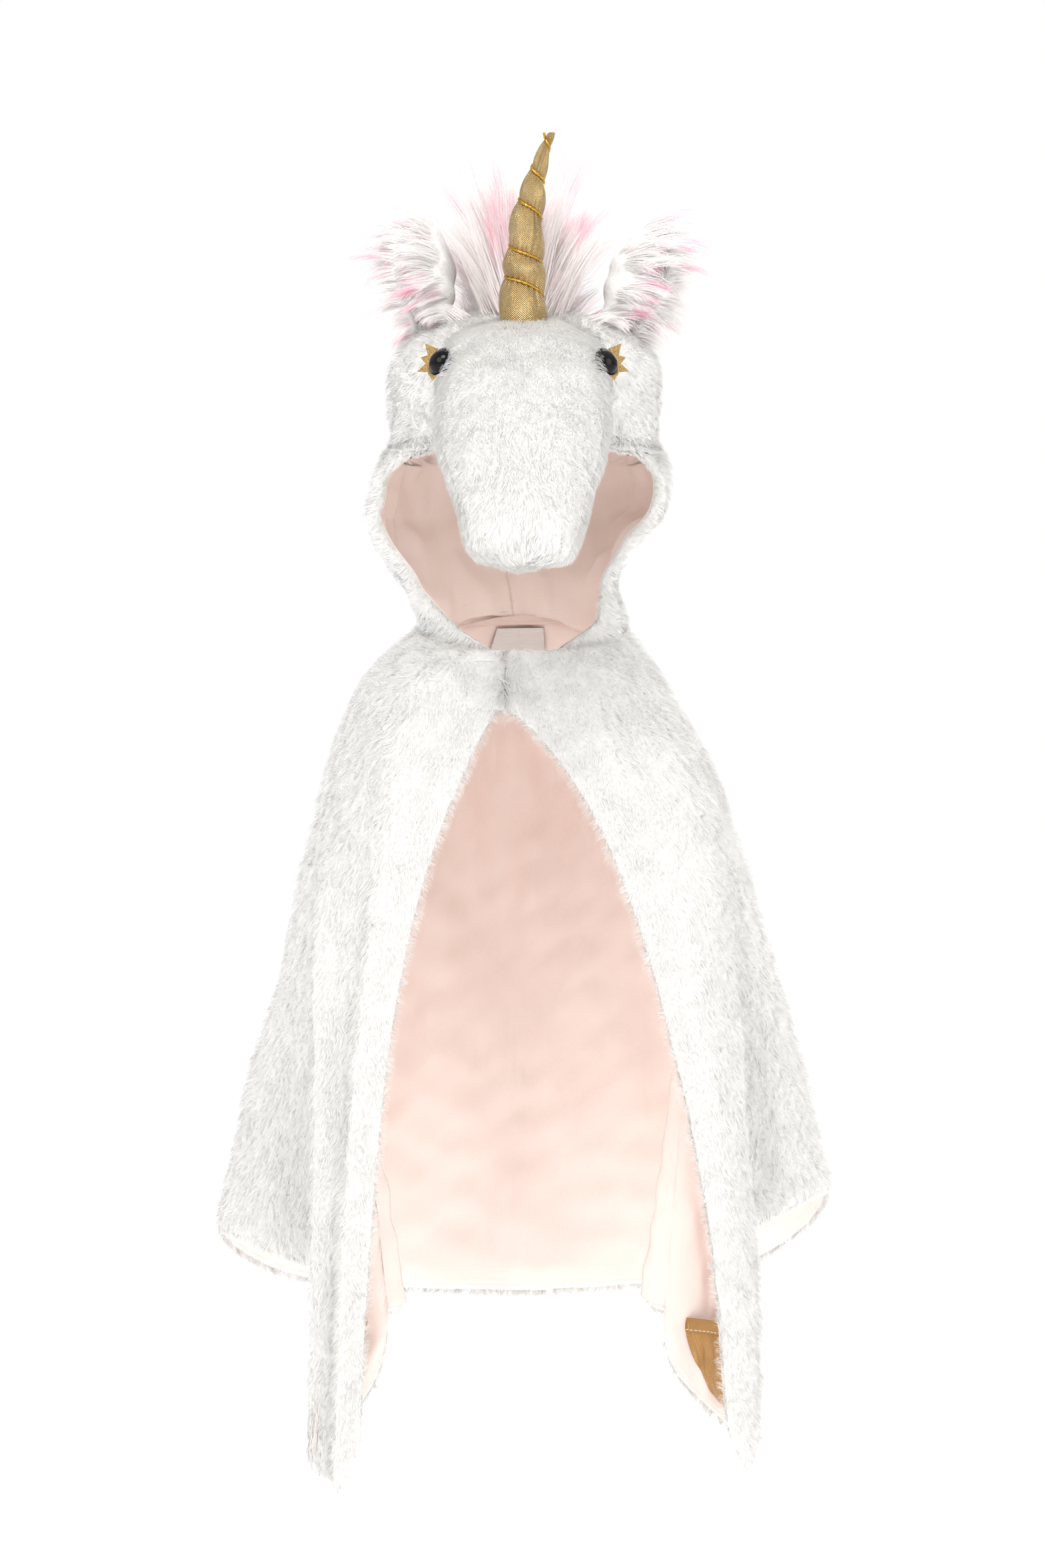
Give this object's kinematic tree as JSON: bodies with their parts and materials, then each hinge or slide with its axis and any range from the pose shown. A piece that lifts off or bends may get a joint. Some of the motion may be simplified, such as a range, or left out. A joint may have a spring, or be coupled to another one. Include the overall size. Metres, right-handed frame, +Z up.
{
  "type": "plush unicorn hooded cape",
  "caption": "Child's white plush hooded cape with a unicorn head for a hood: padded muzzle, gold horn, ears, pink mane, and gold hoof pockets at the ends of its front legs.",
  "frame": {"origin": "the middle of the neck opening, where the wearer's neck passes", "axes": "+Z is up the standing wearer, -Y is the front, +X is the wearer's left"},
  "size_m": [0.4624, 0.382, 0.9636],
  "materials": {
    "white_plush": "short soft pile",
    "pink_satin": "satin weave with a soft sheen",
    "gold_lame": "metallic woven cloth",
    "gold_cord": "twisted metallic cord",
    "pink_mane": "long pile with pink tips",
    "eye_black": "polished",
    "washer_plastic": "moulded",
    "stuffing": "loose fibre",
    "white_tape": "woven tape"
  },
  "bodies": {
    "cape": {"back_panel": "white_plush", "back_lining": "pink_satin", "neck_tape": "white_tape", "care_label": "white_tape", "left_front_upper": "white_plush", "right_front_upper": "white_plush", "left_upper_lining": "pink_satin", "right_upper_lining": "pink_satin", "closure_loop_tape": "white_tape", "closure_underlap": "pink_satin"},
    "throat_flap": {"closure_flap": "white_plush", "closure_hook_tape": "white_tape"},
    "left_front": {"left_front_lower": "white_plush", "left_lower_lining": "pink_satin", "left_hoof_pocket": "gold_lame", "left_pocket_hem": "gold_lame"},
    "right_front": {"right_front_lower": "white_plush", "right_lower_lining": "pink_satin", "right_hoof_pocket": "gold_lame", "right_pocket_hem": "gold_lame"},
    "hood": {"hood_left": "white_plush", "hood_right": "white_plush", "hood_lining_left": "pink_satin", "hood_lining_right": "pink_satin", "mane": "pink_mane", "muzzle_cover": "white_plush", "muzzle_stuffing": "stuffing", "left_eye": "eye_black", "right_eye": "eye_black", "left_eye_washer": "washer_plastic", "right_eye_washer": "washer_plastic", "left_lashes": "gold_lame", "right_lashes": "gold_lame"},
    "horn": {"horn_cover": "gold_lame", "horn_stuffing": "stuffing", "horn_cord": "gold_cord"},
    "left_ear": {"left_ear_back": "white_plush", "left_ear_lining": "pink_mane"},
    "right_ear": {"right_ear_back": "white_plush", "right_ear_lining": "pink_mane"}
  },
  "joints": [
    {"name": "hood_tip", "type": "hinge", "parent": "cape", "child": "hood", "pos_m": [0, 0.07, 0.028], "axis": [-1, 0, 0], "range_deg": [0, 45]},
    {"name": "horn_bend", "type": "hinge", "parent": "hood", "child": "horn", "pos_m": [0, -0.084, 0.234], "axis": [0, 1, 0], "range_deg": [-20, 20], "stiffness_Nm_per_rad": 0.6},
    {"name": "left_ear_bend", "type": "hinge", "parent": "hood", "child": "left_ear", "pos_m": [0.074, -0.022, 0.233], "axis": [0, 1, 0], "range_deg": [-10, 25], "stiffness_Nm_per_rad": 0.2},
    {"name": "right_ear_bend", "type": "hinge", "parent": "hood", "child": "right_ear", "pos_m": [-0.068, -0.022, 0.236], "axis": [0, -1, 0], "range_deg": [-10, 25], "stiffness_Nm_per_rad": 0.2},
    {"name": "left_front_open", "type": "hinge", "parent": "cape", "child": "left_front", "pos_m": [0.1322, -0.0202, -0.232], "axis": [0.143, 0.1132, 0.9832], "range_deg": [0, 35], "stiffness_Nm_per_rad": 0.8},
    {"name": "right_front_open", "type": "hinge", "parent": "cape", "child": "right_front", "pos_m": [-0.1325, -0.0197, -0.232], "axis": [0.14, -0.1124, -0.9838], "range_deg": [0, 35], "stiffness_Nm_per_rad": 0.8},
    {"name": "throat_flap_open", "type": "hinge", "parent": "cape", "child": "throat_flap", "pos_m": [-0.041, -0.078, -0.024], "axis": [0, -0.381, -0.9246], "range_deg": [0, 60], "stiffness_Nm_per_rad": 0.05}
  ]
}
